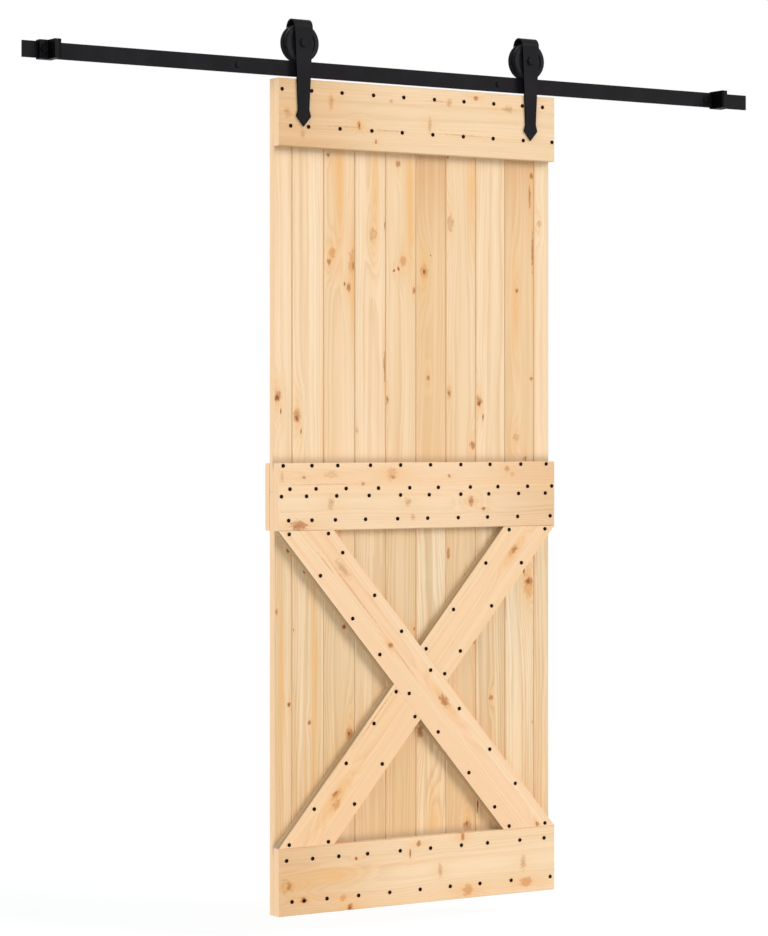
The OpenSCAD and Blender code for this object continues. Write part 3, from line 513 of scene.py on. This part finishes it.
for half, tones, first_seed, figure, colours, half_fade, contacts in (
    ("upper", UPPER_TONES, UPPER_SEED, UPPER_FIGURE, WARM_PINE, None, [ABOVE_MIDDLE, BELOW_TOP]),
    ("lower", LOWER_TONES, LOWER_SEED, LOWER_FIGURE, GREY_PINE, FOOT_FADE, [ABOVE_BOTTOM]),
):
    for i, tone in enumerate(tones):
        name = f"{half}_board_{i + 1}"
        seed = first_seed + i
        pith = board_pith(i, seed)
        # Painted light on faces that look left, painted shade in the seams, and painted contact shade
        # next to the rails
        shades = [(left_mask, LEFT_FACE_PAINTED_LIGHT), (seam_shade_mask, SEAM_PAINTED_SHADE)] + contacts
        fade = HEAD_FADE if name in DEEPER_HEADS else half_fade
        dress(name, pine(name, GRAIN_UP, seed, pith, tone, figure, shades, colours=colours, fade=fade))

# Rails and back batten: seed, height of the pith in mm, tone, deeper end and other shades
RAIL_FIGURE, RAIL_PITH_Y = 0.9, 30 * MM
LEFT_FADE = (X, LEAF_X - 0.02, LEAF_X + 0.45, AMBER_PINE)
RIGHT_FADE = (X, LEAF_X + 0.88, LEAF_X + 0.52, AMBER_PINE)
for name, seed, height, tone, fade, shades in (
    ("top_rail", 41, 2030, 0.5, LEFT_FADE, []),
    ("middle_rail", 43, 1040, 0.2, RIGHT_FADE, [(middle_upper_mask, UPPER_WARM)]),
    ("bottom_rail", 47, 90, 0.3, LEFT_FADE, []),
    ("back_batten", 53, 1060, 0.5, None, []),
):
    pith = (LEAF_Z + height * MM, RAIL_PITH_Y)
    # Painted light on faces that look left, at the left ends
    shades = shades + [(left_mask, LEFT_FACE_PAINTED_LIGHT)]
    dress(name, pine(name, GRAIN_ALONG, seed, pith, tone, RAIL_FIGURE, shades, fade=fade))

# Braces: turn of the grain, seed, tone and share of rosy streaks
BRACE_FIGURE = 1.2
BRACE_PITH_ACROSS, BRACE_PITH_Y = 20 * MM, 10 * MM
for name, turn, seed, tone, blush in (
    ("brace_long", GRAIN_FALLING, 61, 0.4, 1.0),
    ("brace_upper", GRAIN_RISING, 67, 0.65, 0.6),
    ("brace_lower", GRAIN_RISING, 71, 0.8, 0.4),
):
    middle = turned(LEAF_MIDDLE_X, BRACE_CROSS_Z, turn)[1]
    pith = (middle + BRACE_PITH_ACROSS, BRACE_PITH_Y)
    # Painted shade on the braces' left sides
    shades = [(brace_side_mask, SIDE_SHADE)]
    dress(name, pine(name, turn, seed, pith, tone, BRACE_FIGURE, shades, blush, BRACE_PINE))

# Steel and rubber: the painted shade of faces that look to the left, how much lighter patches are,
# waves per metre of patches and clouds, and the spread of the roughness
STEEL_SHADE = srgb(2, 1, 2)
PATCH_LIGHTER = 1.7
PATCH_SCALE, CLOUD_SCALE = 14, 90
PATCH_RISE = (0.35, 0.75)
ROUGHNESS_SPREAD = 0.07
COAT_BUMP, COAT_BUMP_DEPTH = 0.2, 0.15 * MM
ZINC_DULL, ZINC_BRIGHT = srgb(176, 178, 182), srgb(206, 207, 208)
ZINC_ROUGHNESS = (0.28, 0.42)


def coated_steel(name, colour, roughness, peel_scale, specular, shaded=True):
    """Black coated steel: a fine orange-peel texture and faint patches that are lighter and rougher.
    Where it is shaded, shade is painted on faces that look to the left, which makes them darker."""
    material, g, shader = new_material(name)
    local = g.position()
    patches = g.noise(local, (PATCH_SCALE,) * 3, detail=4, roughness=0.6)
    peel = g.noise(local, (peel_scale,) * 3)
    lighter = tuple(c * PATCH_LIGHTER for c in colour[:3]) + (1.0,)
    base = g.mix(g.remap(patches, *PATCH_RISE), colour, lighter)
    if shaded:
        # Painted shade on faces that look to the left
        base = g.mix(left_mask(g), base, STEEL_SHADE)
    g.put(shader.inputs["Base Color"], base)
    smooth, rough = roughness - ROUGHNESS_SPREAD, roughness + ROUGHNESS_SPREAD
    g.put(shader.inputs["Roughness"], g.remap(patches, *MOST_NOISE, smooth, rough))
    shader.inputs["Specular IOR Level"].default_value = specular
    g.put(shader.inputs["Normal"], g.bump(peel, COAT_BUMP, COAT_BUMP_DEPTH))
    return material


def plated_steel(name):
    """Zinc-plated steel with faint clouds."""
    material, g, shader = new_material(name)
    clouds = g.noise(g.position(), (CLOUD_SCALE,) * 3, detail=4)
    g.put(shader.inputs["Base Color"], g.mix(clouds, ZINC_DULL, ZINC_BRIGHT))
    g.put(shader.inputs["Roughness"], g.remap(clouds, *MOST_NOISE, *ZINC_ROUGHNESS))
    shader.inputs["Metallic"].default_value = 1.0
    return material


# Colour, roughness, waves per metre of the peel, and specular level
BLACK = srgb(25, 24, 27)
BOLT_BLACK = coated_steel("bolt_black", BLACK, 0.5, 900, 0.05, shaded=False)
WHEEL_BLACK = coated_steel("wheel_black", srgb(32, 32, 35), 0.45, 900, 0.05)
SLOT_MATERIALS = {
    "black_steel": coated_steel("black_steel", BLACK, 0.5, 900, 0.05),
    "nail_black": coated_steel("nail_black", srgb(32, 16, 8), 0.6, 700, 0.05),
    "stop_rubber": coated_steel("stop_rubber", srgb(22, 21, 22), 0.75, 1500, 0.03),
    "bare_steel": plated_steel("bare_steel"),
}
for part in frame["record"]["subparts"]:
    if part["material_slot"] in SLOT_MATERIALS:
        dress(part["node"], SLOT_MATERIALS[part["material_slot"]])
for name in ("wall_bolts", "wall_washers", "left_axle_bolt", "right_axle_bolt"):
    dress(name, BOLT_BLACK)
for name in ("left_wheel", "right_wheel"):
    dress(name, WHEEL_BLACK)


def seen_directly(graph):
    """1 for camera, glossy and transmission rays, and 0 for light that reaches a matt surface."""
    rays = graph.add("ShaderNodeLightPath").outputs
    share = rays["Is Camera Ray"]
    for ray in ("Is Glossy Ray", "Is Transmission Ray"):
        share = graph.math("MAXIMUM", share, rays[ray])
    return share


# Floor: white to the camera, with a faint shadow
FLOOR_Z = LEAF_Z - 60 * MM
FLOOR_HALF = 30.0
FLOOR_COLOUR, FLOOR_ROUGHNESS = (0.78, 0.78, 0.78, 1), 0.9
FLOOR_SHADOW, FLOOR_GLOW = 0.3, 1.18
corners = [(x * FLOOR_HALF, y * FLOOR_HALF, FLOOR_Z) for x, y in ((-1, -1), (1, -1), (1, 1), (-1, 1))]
floor_mesh = bpy.data.meshes.new("floor")
floor_mesh.from_pydata(corners, [], [(0, 1, 2, 3)])
floor = bpy.data.objects.new("floor", floor_mesh)
bpy.context.scene.collection.objects.link(floor)

floor_material, g, floor_shader = new_material("floor")
floor_shader.inputs["Base Color"].default_value = FLOOR_COLOUR
floor_shader.inputs["Roughness"].default_value = FLOOR_ROUGHNESS
floor_shader.inputs["Specular IOR Level"].default_value = 0.0
white = g.add("ShaderNodeEmission")
white.inputs["Strength"].default_value = FLOOR_GLOW
white_share = g.math("MULTIPLY", seen_directly(g), 1 - FLOOR_SHADOW)
surface = g.fill(g.add("ShaderNodeMixShader"), (white_share, floor_shader.outputs[0], white.outputs[0]))
g.put(g.nodes["Material Output"].inputs["Surface"], surface.outputs[0])
floor_mesh.materials.append(floor_material)

# World: even light, white where it is seen
AMBIENT, AMBIENT_COLOUR = 0.40, (0.70, 1.0, 1.12, 1)
WHITE = (1, 1, 1, 1)
world = bpy.data.worlds.new("studio")
bpy.context.scene.world = world
world.use_nodes = True
g = Graph(world.node_tree)
background = g.nodes["Background"]
seen = seen_directly(g)
g.put(background.inputs["Color"], g.mix(seen, AMBIENT_COLOUR, WHITE))
g.put(background.inputs["Strength"], g.remap(seen, 0, 1, AMBIENT, 1.0, smooth=False))

# Soft distant lamps: direction from the object to the lamp, strength, and spread in degrees
LAMP_COLOUR = (1.07, 0.93, 0.86)
for name, towards, strength, spread in (
    ("key", (0.85, -1.0, 0.6), 1.8, 30),
    ("fill", (-1.0, -0.15, 0.2), 2.0, 60),
    ("back", (0.35, 1.0, 0.3), 1.3, 50),
):
    lamp = bpy.data.lights.new(name, "SUN")
    lamp.energy = strength
    lamp.color = LAMP_COLOUR
    lamp.angle = math.radians(spread)
    lamp_object = bpy.data.objects.new(name, lamp)
    lamp_object.rotation_euler = Vector(towards).to_track_quat("Z", "Y").to_euler()
    bpy.context.scene.collection.objects.link(lamp_object)

# Camera, level, to the left of the leaf and at about half its height. The image is 768 x 936, and its
# height sets the lens.
CAMERA_AT = Vector((-4.236, -6.556, -0.9095))
CAMERA_YAW = math.radians(32.74)
IMAGE_H = 936
FOCAL_PX = 3014
HORIZON_ROW = 430.5
SENSOR = 36.0
camera_data = bpy.data.cameras.new("camera")
camera_data.sensor_width = SENSOR
camera_data.lens = FOCAL_PX * SENSOR / IMAGE_H
camera_data.shift_y = (HORIZON_ROW - IMAGE_H / 2) / IMAGE_H
camera = bpy.data.objects.new("camera", camera_data)
camera.location = CAMERA_AT
camera.rotation_mode = "QUATERNION"
looking = Vector((math.sin(CAMERA_YAW), math.cos(CAMERA_YAW), 0))
camera.rotation_quaternion = looking.to_track_quat("-Z", "Y")
bpy.context.scene.collection.objects.link(camera)
bpy.context.scene.camera = camera

bpy.context.scene.view_settings.view_transform = "Standard"
